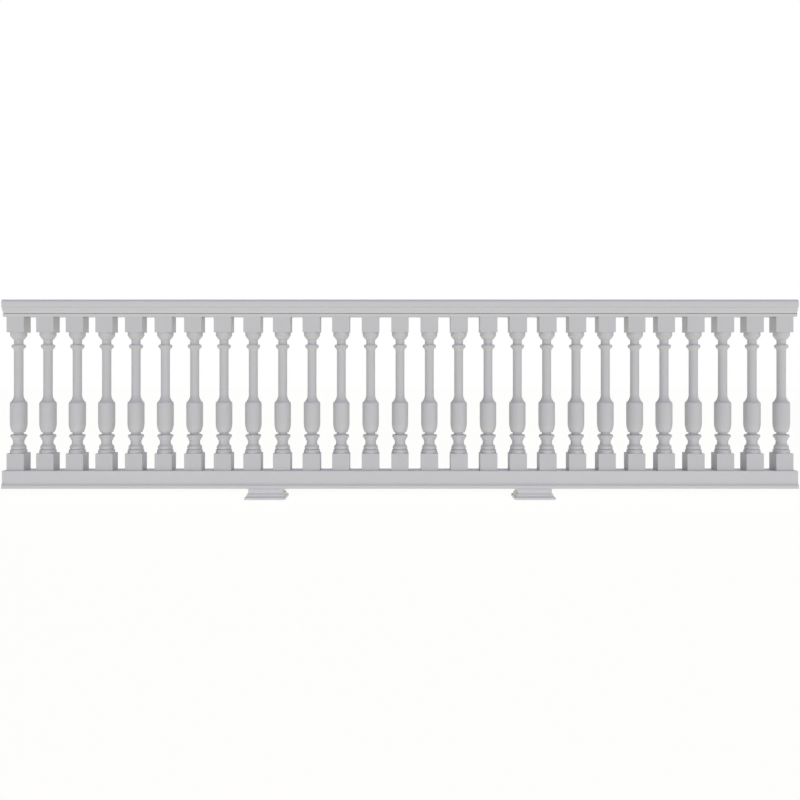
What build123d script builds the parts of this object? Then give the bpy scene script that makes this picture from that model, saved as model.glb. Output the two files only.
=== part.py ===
import os
from math import sqrt

from build123d import *

# Moulded resin balustrade: turned balusters between a handrail and a bottom rail on two foot blocks.
# Millimetres, X along the rail, -Y towards the front, +Z up.
# The origin is on the floor, midway between the two foot blocks.

# Run of the balustrade
rail_length = 3657.6
baluster_spacing = 136.3
least_end_clearance = 12.0  # from the last plinth to the cut end of the rails, at least
foot_spacing = 1238.0

# Heights of the four layers, from the floor up
foot_height = 48.3
bottom_rail_height = 82.6
baluster_height = 709.4
top_rail_height = 78.3

# Bottom rail section
bottom_rail_width = 98.0
bottom_rail_edge_radius = 2.5
lip_width = 114.0
lip_height = 15.9
lip_edge_radius = 2.0
lip_foot_radius = 5.0
lip_cove_height = 15.0

# Top rail section, from its underside up
band_height = 12.0
quirk_height = 3.2
quirk_depth = 4.2  # how far the quirk is cut in behind the band
hollow_foot_width = 77.8
hollow_height = 15.1
hollow_depth = 1.6  # how far the hollow sinks behind its chord
fillet_width = 97.2
fillet_height = 12.7
nose_width = 112.6
nose_soffit_radius = 3.0
nose_top_radius = 15.0

# Foot block, from the floor up
foot_width = 155.0
foot_depth = 112.0
foot_base_height = 9.9
foot_hollow_height = 7.7
foot_hollow_reach = 9.6
foot_hollow_depth = 0.8  # how far the hollow sinks behind its chord
foot_step_height = 4.6
foot_bevel_height = 8.6
foot_bevel_reach = 6.5

# Square ends of the baluster
plinth_width = 79.7
lower_plinth_height = 81.6
upper_plinth_height = 75.8
shoulder_radius = 16.0

# Turning below the shaft, from the lower plinth up
lower_torus_radius = 37.2
lower_torus_height = 11.2
torus_slope_height = 9.0
upper_torus_radius = 33.1
upper_torus_height = 11.7
foot_cavetto_radius = 32.0  # where the cavetto leaves the torus
foot_cavetto_height = 12.6
neck_radius = 24.4
neck_height = 10.5
ring_hollow_radius = 26.4
ring_hollow_height = 13.8
ring_hollow_depth = 0.5  # how far the hollow sinks behind its chord
lower_ring_foot_radius = 32.6
lower_ring_radius = 36.6
lower_ring_underside = 8.4
lower_ring_crown = 7.0
waist_radius = 22.8
waist_height = 8.4
urn_foot_radius = 27.8
urn_taper_height = 42.6
urn_radius = 38.2
urn_height = 86.7
urn_lip_radius = 36.9
urn_lip_height = 10.5
flare_height = 35.0
shaft_radius = 20.7

# Turning above the shaft, from the upper plinth down
bell_radius = 37.1
bell_height = 12.1
bell_taper_height = 17.4
bell_foot_radius = 24.1
upper_neck_height = 21.6
upper_ring_crown = 7.0
upper_ring_radius = 31.6
upper_ring_underside = 8.7
upper_ring_foot_radius = 29.9
upper_cavetto_height = 15.4

# Counts and levels that follow
plinth_run = rail_length - plinth_width - 2 * least_end_clearance
baluster_count = int(plinth_run / baluster_spacing) + 1
bottom_rail_top = foot_height + bottom_rail_height
top_rail_base = bottom_rail_top + baluster_height
top_rail_top = top_rail_base + top_rail_height
band_width = plinth_width  # the band under the handrail is flush with the plinths
stock_radius = plinth_width * sqrt(2) / 2  # a turned stock that just holds the square

os.makedirs("parts", exist_ok=True)


# Bottom rail: square-edged, with a lip that runs out under a cove
with BuildPart() as bottom_rail:
    with BuildSketch(Plane.YZ.offset(-rail_length / 2)) as bottom_section:
        with BuildLine() as bottom_outline:
            lip_top = foot_height + lip_height
            cove_top = lip_top + lip_cove_height
            underside = Line((0, foot_height), (lip_width / 2, foot_height))
            lip_face = Line(underside @ 1, (lip_width / 2, lip_top))
            cove = TangentArc(
                (bottom_rail_width / 2, cove_top), lip_face @ 1, tangent=(0, -1)
            )
            rail_face = Line(cove @ 0, (bottom_rail_width / 2, bottom_rail_top))
            Line(rail_face @ 1, (0, bottom_rail_top))
            mirror(about=Plane.YZ)
        make_face()
        fillet(bottom_section.vertices().group_by(Axis.Y)[-1], bottom_rail_edge_radius)
        for side in (0, -1):
            fillet(bottom_section.vertices().group_by(Axis.X)[side].sort_by(Axis.Y)[-1], lip_edge_radius)
            fillet(bottom_section.vertices().group_by(Axis.X)[side].sort_by(Axis.Y)[0], lip_foot_radius)
    extrude(amount=rail_length)


# Top rail: a round-topped nose over an upright fillet, a hollow, a cut quirk and a flat band
with BuildPart() as top_rail:
    with BuildSketch(Plane.YZ.offset(-rail_length / 2)) as top_section:
        with BuildLine() as top_outline:
            band_top = top_rail_base + band_height
            quirk_half = band_width / 2 - quirk_depth
            hollow_base = band_top + quirk_height
            hollow_top = hollow_base + hollow_height
            nose_base = hollow_top + fillet_height
            band = Polyline(
                (0, top_rail_base),
                (band_width / 2, top_rail_base),
                (band_width / 2, band_top),
                (quirk_half, band_top),
                (quirk_half, hollow_base),
                (hollow_foot_width / 2, hollow_base),
            )
            hollow = SagittaArc(band @ 1, (fillet_width / 2, hollow_top), hollow_depth)
            Polyline(
                hollow @ 1,
                (fillet_width / 2, nose_base),
                (nose_width / 2, nose_base),
                (nose_width / 2, top_rail_top),
                (0, top_rail_top),
            )
            mirror(about=Plane.YZ)
        make_face()
        for side in (0, -1):
            fillet(top_section.vertices().group_by(Axis.X)[side].sort_by(Axis.Y)[-1], nose_top_radius)
            fillet(top_section.vertices().group_by(Axis.X)[side].sort_by(Axis.Y)[0], nose_soffit_radius)
    extrude(amount=rail_length)


# Baluster: one outline turned about the axis, then squared by its stock
with BuildPart() as baluster:
    with BuildSketch(Plane.XZ) as turning:
        with BuildLine() as outline:
            lower_torus_top = lower_plinth_height + lower_torus_height
            upper_torus_base = lower_torus_top + torus_slope_height
            upper_torus_top = upper_torus_base + upper_torus_height
            neck_base = upper_torus_top + foot_cavetto_height
            neck_top = neck_base + neck_height
            ring_foot = neck_top + ring_hollow_height
            ring_level = ring_foot + lower_ring_underside
            waist_base = ring_level + lower_ring_crown
            urn_foot = waist_base + waist_height
            urn_base = urn_foot + urn_taper_height
            urn_top = urn_base + urn_height
            flare_base = urn_top + urn_lip_height
            shaft_base = flare_base + flare_height

            bell_top = baluster_height - upper_plinth_height
            bell_base = bell_top - bell_height
            upper_neck_top = bell_base - bell_taper_height
            upper_neck_base = upper_neck_top - upper_neck_height
            upper_ring_level = upper_neck_base - upper_ring_crown
            upper_ring_foot = upper_ring_level - upper_ring_underside
            shaft_top = upper_ring_foot - upper_cavetto_height

            lower_plinth = Polyline(
                (0, 0), (stock_radius, 0), (stock_radius, lower_plinth_height - shoulder_radius)
            )
            lower_shoulder = TangentArc(
                lower_plinth @ 1,
                (stock_radius - shoulder_radius, lower_plinth_height),
                tangent=(0, 1),
            )
            toruses = Polyline(
                lower_shoulder @ 1,
                (lower_torus_radius, lower_plinth_height),
                (lower_torus_radius, lower_torus_top),
                (upper_torus_radius, upper_torus_base),
                (upper_torus_radius, upper_torus_top),
                (foot_cavetto_radius, upper_torus_top),
            )
            foot_cavetto = TangentArc(
                (neck_radius, neck_base), toruses @ 1, tangent=(0, -1)
            )
            neck = Polyline(
                foot_cavetto @ 0, (neck_radius, neck_top), (ring_hollow_radius, neck_top)
            )
            ring_hollow = SagittaArc(
                neck @ 1, (lower_ring_foot_radius, ring_foot), ring_hollow_depth
            )
            ring_underside = TangentArc(
                (lower_ring_radius, ring_level), ring_hollow @ 1, tangent=(0, -1)
            )
            ring_crown = TangentArc(
                ring_underside @ 0,
                (lower_ring_radius - lower_ring_crown, waist_base),
                tangent=(0, 1),
            )
            waist = Polyline(
                ring_crown @ 1,
                (waist_radius, waist_base),
                (waist_radius, urn_foot),
                (urn_foot_radius, urn_foot),
            )
            urn_taper = TangentArc((urn_radius, urn_base), waist @ 1, tangent=(0, -1))
            urn = Line(urn_taper @ 0, (urn_radius, urn_top))
            urn_lip = TangentArc(urn @ 1, (urn_lip_radius, flare_base), tangent=(0, 1))
            flare = TangentArc((shaft_radius, shaft_base), urn_lip @ 1, tangent=(0, -1))
            shaft = Line(flare @ 0, (shaft_radius, shaft_top))
            upper_cavetto = TangentArc(
                shaft @ 1, (upper_ring_foot_radius, upper_ring_foot), tangent=(0, 1)
            )
            upper_ring_lower_half = TangentArc(
                (upper_ring_radius, upper_ring_level), upper_cavetto @ 1, tangent=(0, -1)
            )
            upper_ring_upper_half = TangentArc(
                upper_ring_lower_half @ 0,
                (upper_ring_radius - upper_ring_crown, upper_neck_base),
                tangent=(0, 1),
            )
            bell = Polyline(
                upper_ring_upper_half @ 1,
                (shaft_radius, upper_neck_base),
                (shaft_radius, upper_neck_top),
                (bell_foot_radius, upper_neck_top),
                (bell_radius, bell_base),
                (bell_radius, bell_top),
                (stock_radius - shoulder_radius, bell_top),
            )
            upper_shoulder = TangentArc(
                (stock_radius, bell_top + shoulder_radius), bell @ 1, tangent=(0, -1)
            )
            Polyline(
                upper_shoulder @ 0, (stock_radius, baluster_height), (0, baluster_height), (0, 0)
            )
        make_face()
    revolve(axis=Axis.Z)
    with BuildSketch() as stock:
        Rectangle(plinth_width, plinth_width)
    extrude(amount=baluster_height, mode=Mode.INTERSECT)


# Foot block: two crossed sections meet in mitred corners
with BuildPart() as foot_block:
    for section_plane, half_width, half_length in (
        (Plane.XZ, foot_width / 2, foot_depth),
        (Plane.YZ, foot_depth / 2, foot_width),
    ):
        with BuildSketch(section_plane) as foot_section:
            with BuildLine() as foot_outline:
                step_half = half_width + foot_bevel_reach
                base_half = step_half + foot_hollow_reach
                step_base = foot_base_height + foot_hollow_height
                step_top = step_base + foot_step_height
                bevel_top = step_top + foot_bevel_height
                base = Polyline((0, 0), (base_half, 0), (base_half, foot_base_height))
                foot_hollow = SagittaArc(base @ 1, (step_half, step_base), foot_hollow_depth)
                Polyline(
                    foot_hollow @ 1,
                    (step_half, step_top),
                    (half_width, bevel_top),
                    (half_width, foot_height),
                    (0, foot_height),
                )
                mirror(about=Plane.YZ)
            make_face()
        extrude(
            amount=half_length,
            both=True,
            mode=Mode.ADD if section_plane == Plane.XZ else Mode.INTERSECT,
        )


def save(part, name):
    """Labels a piece and writes its STEP file."""
    part.label = name
    export_step(part, f"parts/{name}.step")


save(bottom_rail.part, "bottom_rail")
save(top_rail.part, "top_rail")

for number in range(baluster_count):
    with BuildPart() as placed_baluster:
        with Locations(((number - (baluster_count - 1) / 2) * baluster_spacing, 0, bottom_rail_top)):
            add(baluster.part)
    save(placed_baluster.part, f"baluster_{number + 1:02d}")

for side, name in ((-1, "foot_block_left"), (1, "foot_block_right")):
    with BuildPart() as placed_foot:
        with Locations((side * foot_spacing / 2, 0, 0)):
            add(foot_block.part)
    save(placed_foot.part, name)
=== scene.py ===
from math import pi, radians, sqrt

import bpy
import numpy as np
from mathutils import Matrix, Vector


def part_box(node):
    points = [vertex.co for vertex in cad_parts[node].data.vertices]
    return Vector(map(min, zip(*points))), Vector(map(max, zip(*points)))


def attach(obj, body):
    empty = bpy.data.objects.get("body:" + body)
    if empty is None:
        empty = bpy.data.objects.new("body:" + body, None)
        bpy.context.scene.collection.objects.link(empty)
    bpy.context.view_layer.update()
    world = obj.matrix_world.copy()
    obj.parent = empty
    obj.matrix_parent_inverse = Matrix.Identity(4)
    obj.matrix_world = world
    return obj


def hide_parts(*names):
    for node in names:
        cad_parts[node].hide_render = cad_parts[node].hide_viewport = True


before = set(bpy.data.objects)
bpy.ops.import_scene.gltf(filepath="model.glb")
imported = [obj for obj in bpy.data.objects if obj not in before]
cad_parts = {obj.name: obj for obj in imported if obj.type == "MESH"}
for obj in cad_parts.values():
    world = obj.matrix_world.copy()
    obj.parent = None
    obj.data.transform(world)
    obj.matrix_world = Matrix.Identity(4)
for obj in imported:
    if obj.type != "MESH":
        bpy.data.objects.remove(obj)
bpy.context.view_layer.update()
print("frame loaded:", len(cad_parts), "nodes")

mm = 0.001  # every section and outline below is in millimetres
softSteps = 3  # steps round each softened edge


# The camera stands level, square to the middle of the panel.
cameraSettings = {
    "distance": 4.124,  # metres from the axes of the balusters
    "height": 0.6173,
    "lens": 39.93,
    "sensor": 36.0,
    "shift": -0.04375,  # how far the frame moves down, as a share of its width
}


def makeCamera(s):
    data = bpy.data.cameras.new("view from the lawn")
    data.lens = s["lens"]
    data.sensor_width = s["sensor"]
    data.shift_y = s["shift"]
    camera = bpy.data.objects.new("view from the lawn", data)
    camera.location = (0, -s["distance"], s["height"])
    camera.rotation_euler = (pi / 2, 0, 0)
    bpy.context.scene.collection.objects.link(camera)
    bpy.context.scene.camera = camera


makeCamera(cameraSettings)
print("camera placed")


class Wire:
    # The output of a shader node, with the signs of arithmetic: each sign adds a Math node.

    def __init__(self, tree, socket):
        self.tree, self.socket = tree, socket

    def out(self, name):
        return Wire(self.tree, self.socket.node.outputs[name])

    def maths(self, operation, *values):
        return node(self.tree, "ShaderNodeMath", {"operation": operation}, *values)

    def __add__(self, other):
        return self.maths("ADD", self, other)

    def __radd__(self, other):
        return self.maths("ADD", other, self)

    def __sub__(self, other):
        return self.maths("SUBTRACT", self, other)

    def __rsub__(self, other):
        return self.maths("SUBTRACT", other, self)

    def __mul__(self, other):
        return self.maths("MULTIPLY", self, other)

    def __rmul__(self, other):
        return self.maths("MULTIPLY", other, self)


def node(tree, kind, settings, *values, **links):
    # Adds a node: settings first, then its sockets, in order or by name, where None leaves one
    # alone. Gives its first output.
    made = tree.nodes.new(kind)
    for name, value in settings.items():
        setattr(made, name, value)
    pairs = list(enumerate(values)) + list(links.items())
    for key, value in pairs:
        entry = made.inputs[key if isinstance(key, int) else key.replace("_", " ")]
        if isinstance(value, Wire):
            tree.links.new(value.socket, entry)
        elif value is not None:
            entry.default_value = value
    return Wire(tree, made.outputs[0]) if made.outputs else made


# Resin: pale moulded plastic with a soft sheen.
railFinish = {
    "colour": (0.606, 0.606, 0.616),
    "tone": 0.030,  # how far the colour wanders, as a share
    "toneScale": (0.8, 9.0, 9.0),  # drawn out along the rail, as extruded resin is
    "roughness": 0.46,
    "roughnessSpread": 0.08,
    "grain": 0.045,
    "grainScale": (260.0, 900.0, 900.0),
}
balusterFinish = {
    # darker than the rails' resin, to match the balusters' tone: painted shade
    "colour": (0.567, 0.567, 0.576),
    "tone": 0.030,
    "toneScale": (5.0, 5.0, 3.0),
    "roughness": 0.50,
    "roughnessSpread": 0.08,
    "grain": 0.06,
    "grainScale": (700.0, 700.0, 700.0),
}
footFinish = {
    # lighter than the rails' resin, to match the feet's tone: painted light
    "colour": (0.634, 0.634, 0.643),
    "tone": 0.030,
    "toneScale": (6.0, 6.0, 6.0),
    "roughness": 0.52,
    "roughnessSpread": 0.08,
    "grain": 0.06,
    "grainScale": (700.0, 700.0, 700.0),
}
resinNoise = {
    "contrast": 0.55,  # roughness of each noise
    "toneDetail": 3.0,
    "satinDetail": 4.0,
    "satinFiner": 1.7,  # the sheen's noise over the colour's
    "grainDetail": 2.0,
    "grainHeight": 0.0002,  # metres
}


def resin(name, finish, s):
    # Colour and roughness wander with one slow noise each, and a fine noise lifts the surface.
    material = bpy.data.materials.new(name)
    material.use_nodes = True
    tree = material.node_tree
    tree.nodes.clear()
    place = node(tree, "ShaderNodeTexCoord", {}).out("Object")

    def noise(scale, detail):
        spread = node(tree, "ShaderNodeMapping", {}, place, Scale=scale)
        return node(
            tree, "ShaderNodeTexNoise", {},
            Vector=spread, Scale=1.0, Detail=detail, Roughness=s["contrast"],
        )

    def shade(change):
        return tuple(channel * (1 + change) for channel in finish["colour"]) + (1.0,)

    wander = noise(finish["toneScale"], s["toneDetail"])
    satin = noise(tuple(s["satinFiner"] * scale for scale in finish["toneScale"]), s["satinDetail"])
    grain = noise(finish["grainScale"], s["grainDetail"])
    otherKinds = [None] * 5  # a Mix node keeps these for other values; its colour is output 2
    colour = node(
        tree, "ShaderNodeMix", {"data_type": "RGBA"},
        wander, *otherKinds, shade(-finish["tone"]), shade(finish["tone"]),
    ).out(2)
    roughness = finish["roughness"] + finish["roughnessSpread"] * (satin - 0.5)
    lift = node(
        tree, "ShaderNodeBump", {}, Strength=finish["grain"], Distance=s["grainHeight"], Height=grain
    )
    shader = node(
        tree, "ShaderNodeBsdfPrincipled", {}, Base_Color=colour, Roughness=roughness, Normal=lift
    )
    node(tree, "ShaderNodeOutputMaterial", {}, Surface=shader)
    return material


railResin = resin("extruded resin", railFinish, resinNoise)
balusterResin = resin("moulded resin", balusterFinish, resinNoise)
footResin = resin("foot resin", footFinish, resinNoise)
print("resin mixed")


# Curves for the outlines.
def tangentArc(start, end, direction, steps):
    # The circle that leaves start along direction and passes through end. A point whose chord from
    # start lies at an angle to the direction is 2R sin(angle) away, and the angle runs from 0 to
    # that of the last chord.
    start, end, direction = (np.array(v, float) for v in (start, end, direction))
    chord = end - start
    turn = np.arctan2(direction[0] * chord[1] - direction[1] * chord[0], direction @ chord)
    angle = np.linspace(0, turn, steps + 1)
    reach = np.linalg.norm(chord) * np.sin(angle) / np.sin(turn)
    across = np.array([-direction[1], direction[0]])
    ray = np.cos(angle)[:, None] * direction + np.sin(angle)[:, None] * across
    return start + reach[:, None] * ray


def quarter(centre, radius, first, steps):
    # A quarter circle that starts at the given angle and turns left.
    turn = np.radians(first) + np.linspace(0, pi / 2, steps + 1)
    return np.stack([centre[0] + radius * np.cos(turn), centre[1] + radius * np.sin(turn)], axis=1)


def bowed(start, end, rise, steps):
    # A straight line with a parabola across it, which stands out to the right of it by the rise.
    start, end = np.array(start, float), np.array(end, float)
    share = np.linspace(0, 1, steps + 1)[:, None]
    chord = end - start
    right = np.array([chord[1], -chord[0]]) / np.linalg.norm(chord)
    return start + share * chord + 4 * rise * share * (1 - share) * right


def torus(crease, radius, base, top, steps):
    # Half an ellipse upright: it stands out from the crease's radius to its own at mid height.
    turn = np.linspace(-pi / 2, pi / 2, steps + 1)
    return np.stack([
        crease + (radius - crease) * np.cos(turn),
        (base + top) / 2 + (top - base) / 2 * np.sin(turn),
    ], axis=1)


def parabola(start, corner, end, share):
    # It leaves start towards the corner and reaches end from there, as the share goes from 0 to 1.
    return (1 - share) ** 2 * start + 2 * share * (1 - share) * corner + share**2 * end


def between(count):
    # That many even shares of a stretch, without its two ends.
    return np.linspace(0, 1, count + 2)[1:-1]


def softened(points, reach, closed, sharpest=radians(24), longest=0.45):
    # Each corner sharper than the limit becomes a parabola. It starts and ends the given reach down
    # the two sides, or the longest share of the shorter side that it may take.
    before = np.roll(points, 1, 0) - points
    after = np.roll(points, -1, 0) - points
    lengthBefore = np.linalg.norm(before, axis=1)
    lengthAfter = np.linalg.norm(after, axis=1)
    cosine = -(before * after).sum(1) / (lengthBefore * lengthAfter)
    turn = np.arccos(np.clip(cosine, -1, 1))
    shorter = np.minimum(lengthBefore, lengthAfter)
    cut = np.where(turn > sharpest, np.minimum(reach, longest * shorter), 0)
    if not closed:
        cut[[0, -1]] = 0
    start = (points + before * (cut / lengthBefore)[:, None])[:, None]
    end = (points + after * (cut / lengthAfter)[:, None])[:, None]
    share = np.linspace(0, 1, softSteps + 1)[None, :, None]
    curve = parabola(start, points[:, None], end, share)
    keep = np.ones(curve.shape[:2], bool)
    keep[cut == 0, 1:] = False
    return curve[keep]


def joined(*runs, same=1e-6):
    # Runs of an outline end to end, without the points that two of them share.
    points = np.concatenate([np.atleast_2d(np.array(run, float)) for run in runs])
    step = np.linalg.norm(np.diff(points, axis=0), axis=1)
    return points[np.concatenate([[True], step > same])]


def surface(cadNode, rows, material, smoothing=90):
    # A tube of rows by columns of points in metres, closed by a flat face over its first and last
    # rows. The smoothing, up to 100, is how far large faces pull the normals their way.
    name = "resin_" + cadNode
    count, columns = rows.shape[:2]
    row, column = np.meshgrid(np.arange(count - 1), np.arange(columns), indexing="ij")
    beside = (column + 1) % columns
    corners = [(row, column), (row, beside), (row + 1, beside), (row + 1, column)]
    quads = np.stack([r * columns + c for r, c in corners], axis=-1).reshape(-1, 4)
    rim = np.arange(columns)
    caps = [rim[::-1].tolist(), (rim + (count - 1) * columns).tolist()]
    mesh = bpy.data.meshes.new(name)
    mesh.from_pydata(rows.reshape(-1, 3).tolist(), [], quads.tolist() + caps)
    mesh.shade_smooth()
    mesh.materials.append(material)
    piece = bpy.data.objects.new(name, mesh)
    bpy.context.scene.collection.objects.link(piece)
    even = piece.modifiers.new("even light", "WEIGHTED_NORMAL")
    even.weight = smoothing
    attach(piece, "root")
    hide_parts(cadNode)


baluster = {
    "plinthWidth": 79.7,
    "lowerPlinthHeight": 78.4,
    "upperPlinthHeight": 71.9,
    "shoulderRadius": 2.5,  # round rim of the turned stock, which shows at the plinths' corners
    "arrisRadius": 1.5,  # rounding of the plinths' upright corners
    "softEdge": 0.5,  # reach of the rounding at every other edge
    "columns": 64,
    "faceRows": 3,
    "ledgeRows": 5,
    # turning below the shaft, from the lower plinth up
    "lowerTorusRadius": 37.7,
    "lowerTorusCrease": 33.0,  # radius at its top
    "lowerTorusHeight": 17.5,
    "upperTorusRadius": 33.7,
    "upperTorusCrease": 30.1,  # radius at its foot and its top
    "upperTorusHeight": 17.6,
    "footCavettoHeight": 12.6,
    "neckRadius": 24.4,
    "neckHeight": 10.5,
    "ringHollowRadius": 26.4,
    "ringHollowHeight": 13.8,
    "ringHollowDepth": 0.5,
    "lowerRingFootRadius": 32.6,
    "lowerRingRadius": 36.6,
    "lowerRingUnderside": 6.9,
    "lowerRingCrown": 7.8,
    "waistRadius": 21.5,
    "waistHeight": 9.1,
    "urnFootRadius": 27.8,
    "urnTaperHeight": 42.6,
    "urnRadius": 38.2,
    "urnHeight": 86.7,
    "urnLipRadius": 37.4,
    "urnLipHeight": 8.7,
    "flareHeight": 36.8,
    "shaftRadius": 20.7,
    # turning above the shaft, from the upper plinth down
    "bellRadius": 37.1,
    "bellHeight": 16.0,
    "bellTaperHeight": 17.4,
    "bellFootRadius": 24.1,
    "upperNeckHeight": 22.2,
    "upperRingCrown": 8.0,
    "upperRingRadius": 31.6,
    "upperRingUnderside": 7.1,
    "upperRingFootRadius": 29.9,
    "upperCavettoHeight": 15.4,
    # steps along its curves
    "torusSteps": 14,
    "cavettoSteps": 6,
    "ringHollowSteps": 5,
    "undersideSteps": 3,
    "crownSteps": 6,
    "urnSteps": 9,
    "lipSteps": 5,
    "flareSteps": 9,
}


def turnedOutline(s, height):
    # (radius, height) of the turning, from the lower plinth's ledge to the upper one's: the heights
    # of its levels, then the points where curves meet, then the runs between them.
    ledge = s["plinthWidth"] * sqrt(2) / 2 - s["shoulderRadius"]
    plinthTop = s["lowerPlinthHeight"]
    torusJoint = plinthTop + s["lowerTorusHeight"]
    torusTop = torusJoint + s["upperTorusHeight"]
    neckBase = torusTop + s["footCavettoHeight"]
    neckTop = neckBase + s["neckHeight"]
    ringFoot = neckTop + s["ringHollowHeight"]
    ringLevel = ringFoot + s["lowerRingUnderside"]
    waistBase = ringLevel + s["lowerRingCrown"]
    urnFoot = waistBase + s["waistHeight"]
    urnBase = urnFoot + s["urnTaperHeight"]
    urnTop = urnBase + s["urnHeight"]
    flareBase = urnTop + s["urnLipHeight"]
    shaftBase = flareBase + s["flareHeight"]
    bellTop = height - s["upperPlinthHeight"]
    bellBase = bellTop - s["bellHeight"]
    upperNeckTop = bellBase - s["bellTaperHeight"]
    upperNeckBase = upperNeckTop - s["upperNeckHeight"]
    upperRingLevel = upperNeckBase - s["upperRingCrown"]
    upperRingFoot = upperRingLevel - s["upperRingUnderside"]
    shaftTop = upperRingFoot - s["upperCavettoHeight"]

    shaft, neck, urn, bell = s["shaftRadius"], s["neckRadius"], s["urnRadius"], s["bellRadius"]
    lowerCrown, upperCrown = s["lowerRingCrown"], s["upperRingCrown"]
    cavettoFoot = (s["upperTorusCrease"], torusTop)
    lowerFoot, lowerRim = (s["lowerRingFootRadius"], ringFoot), (s["lowerRingRadius"], ringLevel)
    lip = (s["urnLipRadius"], flareBase)
    upperFoot = (s["upperRingFootRadius"], upperRingFoot)
    upperRim = (s["upperRingRadius"], upperRingLevel)

    up, down = (0, 1), (0, -1)
    lowerTorus = torus(
        s["lowerTorusCrease"], s["lowerTorusRadius"], plinthTop, torusJoint, s["torusSteps"]
    )
    return joined(
        [(ledge, plinthTop), (s["lowerTorusRadius"], plinthTop)],
        lowerTorus[s["torusSteps"] // 2:],  # upright below the middle
        torus(s["upperTorusCrease"], s["upperTorusRadius"], torusJoint, torusTop, s["torusSteps"]),
        tangentArc((neck, neckBase), cavettoFoot, down, s["cavettoSteps"])[::-1],
        [(neck, neckTop)],
        bowed(
            (s["ringHollowRadius"], neckTop), lowerFoot, -s["ringHollowDepth"], s["ringHollowSteps"]
        ),
        tangentArc(lowerRim, lowerFoot, down, s["undersideSteps"])[::-1],
        quarter((s["lowerRingRadius"] - lowerCrown, ringLevel), lowerCrown, 0, s["crownSteps"]),
        [(s["waistRadius"], waistBase), (s["waistRadius"], urnFoot)],
        tangentArc((urn, urnBase), (s["urnFootRadius"], urnFoot), down, s["urnSteps"])[::-1],
        [(urn, urnBase + s["urnHeight"] / 2)],
        tangentArc((urn, urnTop), lip, up, s["lipSteps"]),
        tangentArc((shaft, shaftBase), lip, down, s["flareSteps"])[::-1],
        [(shaft, shaftBase + (shaftTop - shaftBase) * share) for share in between(2)],
        tangentArc((shaft, shaftTop), upperFoot, up, s["cavettoSteps"]),
        tangentArc(upperRim, upperFoot, down, s["undersideSteps"])[::-1],
        quarter((s["upperRingRadius"] - upperCrown, upperRingLevel), upperCrown, 0, s["crownSteps"]),
        [(shaft, upperNeckBase), (shaft, upperNeckTop)],
        [(s["bellFootRadius"], upperNeckTop), (bell, bellBase)],
        [(bell, bellTop), (ledge, bellTop)],
    )


def squareEnd(s, plinthHeight, wall, angles):
    # Radius and height of a plinth, from its resting face to the ledge round the turning's wall.
    # The square is half / cos(angle off the nearest face), with a small circle at each corner, where
    # a ray leaves the circle at along + sqrt(along^2 - centre^2 + radius^2). The rim of the turned
    # stock is a quarter round, and where the square reaches it, the edge follows it down.
    half, arris, soft = s["plinthWidth"] / 2, s["arrisRadius"], s["softEdge"]
    shoulder = s["shoulderRadius"]
    ledge = half * sqrt(2) - shoulder - wall
    offFace = np.abs((angles + pi / 4) % (pi / 2) - pi / 4)
    centre = (half - arris) * sqrt(2)
    along = centre * np.cos(pi / 4 - offFace)
    rounded = along + np.sqrt(np.maximum(along**2 - centre**2 + arris**2, 0))
    edge = np.where(half * np.tan(offFace) < half - arris, half / np.cos(offFace), rounded)
    zero = np.zeros_like(edge)

    def onLedge(run):  # a point by its distance from the wall, out over the ledge and the rim
        turn = np.clip((run - ledge) / shoulder, 0, pi / 2)
        return np.stack([
            wall + np.minimum(run, ledge) + shoulder * np.sin(turn),
            plinthHeight - shoulder * (1 - np.cos(turn)),
        ])

    overRim = np.arcsin(np.clip((edge - wall - ledge) / shoulder, 0, 1))
    run = np.where(edge < wall + ledge, edge - wall, ledge + shoulder * overRim)
    brink = onLedge(run)
    bend = np.linspace(0, 1, softSteps + 1)[:, None, None]
    foot = parabola(
        np.stack([edge - soft, zero]), np.stack([edge, zero]), np.stack([edge, zero + soft]), bend
    )
    brow = parabola(brink - np.stack([zero, zero + soft]), brink, onLedge(run - soft), bend)
    face = foot[-1] + between(s["faceRows"])[:, None, None] * (brow[0] - foot[-1])
    inward = between(s["ledgeRows"])[:, None]
    top = onLedge((run - soft) * (1 - inward) + soft * inward).transpose(1, 0, 2)
    return np.concatenate([foot, face, brow, top])


def balusterPiece(s, name):
    # The turning's outline goes round every angle; the plinths' radius changes with the angle.
    low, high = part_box(name)
    centre, height = (low + high) / 2, (high.z - low.z) / mm
    even = np.arange(s["columns"]) * 2 * pi / s["columns"]
    corners = pi / 4 + np.arange(4) * pi / 2
    beside = pi / 4 - np.arctan2(s["plinthWidth"] / 2 - s["arrisRadius"], s["plinthWidth"] / 2)
    angles = np.sort(np.concatenate([even, corners - beside, corners + beside]))
    turning = softened(turnedOutline(s, height), s["softEdge"], False)[1:-1]
    turned = np.repeat(turning[:, :, None], len(angles), axis=2)
    lower = squareEnd(s, s["lowerPlinthHeight"], s["lowerTorusRadius"], angles)
    upper = squareEnd(s, s["upperPlinthHeight"], s["bellRadius"], angles)[::-1]
    upper[:, 1] = height - upper[:, 1]
    grid = np.concatenate([lower, turned, upper]) * mm
    rows = np.stack([
        centre.x + grid[:, 0] * np.cos(angles),
        centre.y + grid[:, 0] * np.sin(angles),
        low.z + grid[:, 1],
    ], axis=-1)
    surface(name, rows, balusterResin)


balusterNodes = sorted(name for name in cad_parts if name.startswith("baluster_"))
for name in balusterNodes:
    balusterPiece(baluster, name)
print("balusters turned:", len(balusterNodes))


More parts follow.
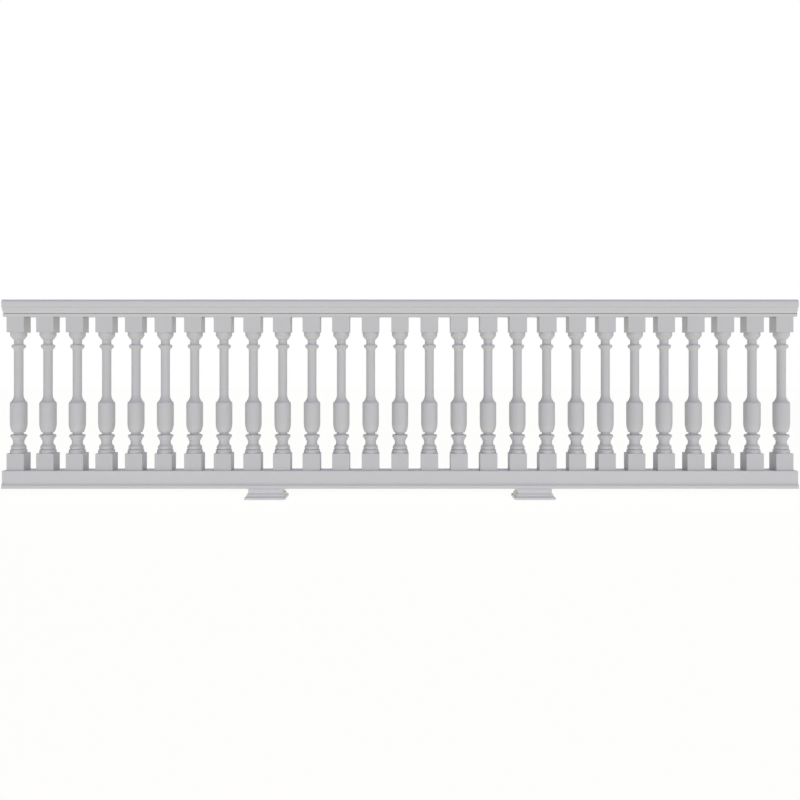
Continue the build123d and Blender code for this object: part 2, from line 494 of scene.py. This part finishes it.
topRail = {
    "bandWidth": 79.7,
    "bandHeight": 12.0,
    "quirkHeight": 3.6,
    "quirkDepth": 8.0,
    "hollowFootWidth": 77.8,
    "hollowHeight": 14.7,
    "hollowDepth": 1.6,
    "filletWidth": 97.2,
    "filletHeight": 12.7,
    "noseWidth": 112.6,
    "noseSoffitRadius": 3.0,
    "noseTopRadius": 15.0,
    "softEdge": 0.5,  # reach of the rounding at the edges that have no radius of their own
    "cutEdge": 0.8,  # rounding of the rim at the cut ends
    "stations": 54,
    "hollowSteps": 6,
    "soffitSteps": 4,
    "crownSteps": 10,
}
bottomRail = {
    "lipWidth": 114.0,
    "lipHeight": 15.9,
    "lipFootRadius": 5.0,
    "lipCoveHeight": 15.0,
    "railWidth": 98.0,
    "railEdgeRadius": 1.7,
    "softEdge": 0.8,
    "cutEdge": 0.8,
    "stations": 54,
    "footSteps": 5,
    "coveSteps": 8,
    "edgeSteps": 5,
}


def topRailSection(s, height):
    # Right half of the section, (depth, height) from the middle of the underside to the top.
    band, fillet, nose = s["bandWidth"] / 2, s["filletWidth"] / 2, s["noseWidth"] / 2
    bandTop = s["bandHeight"]
    hollowBase = bandTop + s["quirkHeight"]
    hollowTop = hollowBase + s["hollowHeight"]
    noseBase = hollowTop + s["filletHeight"]
    soffit, crown = s["noseSoffitRadius"], s["noseTopRadius"]
    hollowFoot = (s["hollowFootWidth"] / 2, hollowBase)
    return joined(
        [(band, 0), (band, bandTop), (band - s["quirkDepth"], bandTop)],
        [(band - s["quirkDepth"], hollowBase)],
        bowed(hollowFoot, (fillet, hollowTop), -s["hollowDepth"], s["hollowSteps"]),
        [(fillet, noseBase)],
        quarter((nose - soffit, noseBase + soffit), soffit, -90, s["soffitSteps"]),
        quarter((nose - crown, height - crown), crown, 0, s["crownSteps"]),
    )


def bottomRailSection(s, height):
    # Right half of the section, (depth, height) from the underside to the top.
    lip, face = s["lipWidth"] / 2, s["railWidth"] / 2
    coveTop = s["lipHeight"] + s["lipCoveHeight"]
    edge, foot, down = s["railEdgeRadius"], s["lipFootRadius"], (0, -1)
    return joined(
        quarter((lip - foot, foot), foot, -90, s["footSteps"]),
        tangentArc((face, coveTop), (lip, s["lipHeight"]), down, s["coveSteps"])[::-1],
        quarter((face - edge, height - edge), edge, 0, s["edgeSteps"]),
    )


def railPiece(s, name, halfSection):
    # The section, mirrored to a loop, runs from one cut end to the other; at each end it steps in
    # along its own normals on a quarter circle, so that the cut has a small round rim.
    low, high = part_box(name)
    length, height = (high.x - low.x) / mm, (high.z - low.z) / mm
    half = halfSection(s, height)
    loop = softened(joined(half, half[::-1] * (-1, 1)), s["softEdge"], True)
    ahead = np.roll(loop, -1, 0) - loop
    ahead /= np.linalg.norm(ahead, axis=1)[:, None]
    behind = np.roll(ahead, 1, 0)
    normal = np.stack([ahead[:, 1] + behind[:, 1], -ahead[:, 0] - behind[:, 0]], axis=1)
    normal /= (normal**2).sum(1)[:, None] / 2
    cut = s["cutEdge"]
    rim = np.linspace(0, pi / 2, softSteps + 1)
    inset = cut * (1 - np.sin(rim))
    setback = cut * (1 - np.cos(rim))
    along = np.linspace(cut, length - cut, s["stations"])[1:-1]
    shift = np.concatenate([setback, along, length - setback[::-1]])
    draw = np.concatenate([inset, np.zeros(len(along)), inset[::-1]])
    section = loop[None] - draw[:, None, None] * normal[None]
    rows = np.stack([
        low.x + mm * np.repeat(shift[:, None], len(loop), axis=1),
        (low.y + high.y) / 2 + mm * section[..., 0],
        low.z + mm * section[..., 1],
    ], axis=-1)
    surface(name, rows, railResin)


railPiece(topRail, "top_rail", topRailSection)
railPiece(bottomRail, "bottom_rail", bottomRailSection)
print("rails drawn")


footBlock = {
    "footBaseHeight": 9.9,
    "footHollowHeight": 7.7,
    "footHollowReach": 9.6,
    "footHollowDepth": 0.8,
    "footStepHeight": 4.6,
    "footBevelHeight": 8.6,
    "footBevelReach": 6.5,
    "cornerRadius": 1.6,
    "softEdge": 1.0,
    "capInset": 6.0,  # from the sides in to where the closing faces start
    "hollowSteps": 5,
    "columnsAtCorner": 4,
    "columnsOnSide": 3,
}


def footPiece(s, name):
    # How far each level stands out from the block, carried round a rectangle with rounded corners.
    low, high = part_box(name)
    middle = (low + high) / 2
    height = (high.z - low.z) / mm
    step = s["footBevelReach"]
    base = step + s["footHollowReach"]
    stepBase = s["footBaseHeight"] + s["footHollowHeight"]
    stepTop = stepBase + s["footStepHeight"]
    hollowFoot = (base, s["footBaseHeight"])
    outline = softened(joined(
        [(base - s["capInset"], 0), (base, 0)],
        bowed(hollowFoot, (step, stepBase), -s["footHollowDepth"], s["hollowSteps"]),
        [(step, stepTop), (0, stepTop + s["footBevelHeight"])],
        [(0, height), (-s["capInset"], height)],
    ), s["softEdge"], False)
    levels, count = len(outline), s["columnsAtCorner"]
    turn = np.arange(4)[:, None] * pi / 2 + np.linspace(0, pi / 2, count)
    bow = s["cornerRadius"] * np.stack([np.cos(turn), np.sin(turn)], axis=-1)
    sides = np.array([(1, 1), (-1, 1), (-1, -1), (1, -1)])
    block = np.array([high.x - low.x, high.y - low.y]) / mm / 2 - base - s["cornerRadius"]
    corner = sides[:, None] * (block + outline[:, 0, None, None, None]) + bow
    following = np.roll(corner, -1, axis=1)
    share = between(s["columnsOnSide"])[:, None]
    side = corner[:, :, -1:] * (1 - share) + following[:, :, :1] * share
    ring = np.concatenate([corner, side], axis=2).reshape(levels, -1, 2)
    rows = np.stack([
        middle.x + mm * ring[..., 0],
        middle.y + mm * ring[..., 1],
        low.z + mm * np.repeat(outline[:, 1:2], ring.shape[1], axis=1),
    ], axis=-1)
    surface(name, rows, footResin)


footPiece(footBlock, "foot_block_left")
footPiece(footBlock, "foot_block_right")
print("foot blocks set")


# Floor and light.
studio = {
    "white": (1.0, 1.0, 1.0, 1.0),
    "floorSize": 40.0,
    "floorColour": (0.86, 0.86, 0.86, 1.0),
    "floorGlow": (0.64, 0.605, 0.48, 1.0),
    "floorShows": 0.12,  # share of the lit floor that the camera sees over plain white
    "around": (0.05, 0.05, 0.125, 1.0),  # light from all of the dome
    "front": (1.96, 2.03, 2.09, 1.0),  # light gathered in front
    "back": (0.60, 0.60, 0.62, 1.0),  # light gathered behind
    "right": (0.59, 0.60, 0.57, 1.0),  # light that grows towards the right
}


def seen(tree):
    # 1 for what the camera sees, in a reflection or through glass too, and 0 for light on the object.
    path = node(tree, "ShaderNodeLightPath", {})
    return path.out("Is Camera Ray") + path.out("Is Glossy Ray") + path.out("Is Transmission Ray")


def makeFloor(s):
    half = s["floorSize"] / 2
    corners = [(-half, -half, 0), (half, -half, 0), (half, half, 0), (-half, half, 0)]
    mesh = bpy.data.meshes.new("pale floor")
    mesh.from_pydata(corners, [], [(0, 1, 2, 3)])
    floor = bpy.data.objects.new("pale floor", mesh)
    bpy.context.scene.collection.objects.link(floor)
    material = bpy.data.materials.new("pale floor")
    material.use_nodes = True
    tree = material.node_tree
    tree.nodes.clear()
    matt = node(tree, "ShaderNodeBsdfDiffuse", {}, s["floorColour"])
    glow = node(tree, "ShaderNodeEmission", {}, s["floorGlow"], 1.0)
    lit = node(tree, "ShaderNodeAddShader", {}, matt, glow)
    white = node(tree, "ShaderNodeEmission", {}, s["white"], 1.0)
    view = node(tree, "ShaderNodeMixShader", {}, s["floorShows"], white, lit)
    shown = node(tree, "ShaderNodeMixShader", {}, seen(tree), lit, view)
    node(tree, "ShaderNodeOutputMaterial", {}, shown)
    mesh.materials.append(material)


def makeWorld(s):
    # Of the dome's four lights, one is even, two grow with the fourth power of the direction's
    # part towards the front and the back, and one with its part towards the right. The camera and
    # what shines see plain white.
    world = bpy.data.worlds.new("studio dome")
    bpy.context.scene.world = world
    world.use_nodes = True
    tree = world.node_tree
    tree.nodes.clear()
    towards = node(tree, "ShaderNodeTexCoord", {}).out("Generated")
    axes = node(tree, "ShaderNodeSeparateXYZ", {}, towards)
    x, y = axes.out("X"), axes.out("Y")
    front = y.maths("MAXIMUM", -1 * y, 0)
    back = y.maths("MAXIMUM", y, 0)
    right = x.maths("MAXIMUM", x, 0)
    lights = {
        "front": front * front * front * front,
        "back": back * back * back * back,
        "right": right,
    }
    dome = node(tree, "ShaderNodeBackground", {}, s["around"], 1.0)
    for name, strength in lights.items():
        light = node(tree, "ShaderNodeBackground", {}, s[name], strength)
        dome = node(tree, "ShaderNodeAddShader", {}, dome, light)
    white = node(tree, "ShaderNodeBackground", {}, s["white"], 1.0)
    shown = node(tree, "ShaderNodeMixShader", {}, seen(tree), dome, white)
    node(tree, "ShaderNodeOutputWorld", {}, shown)


makeFloor(studio)
makeWorld(studio)
bpy.context.scene.view_settings.view_transform = "Standard"
print("floor and light ready")
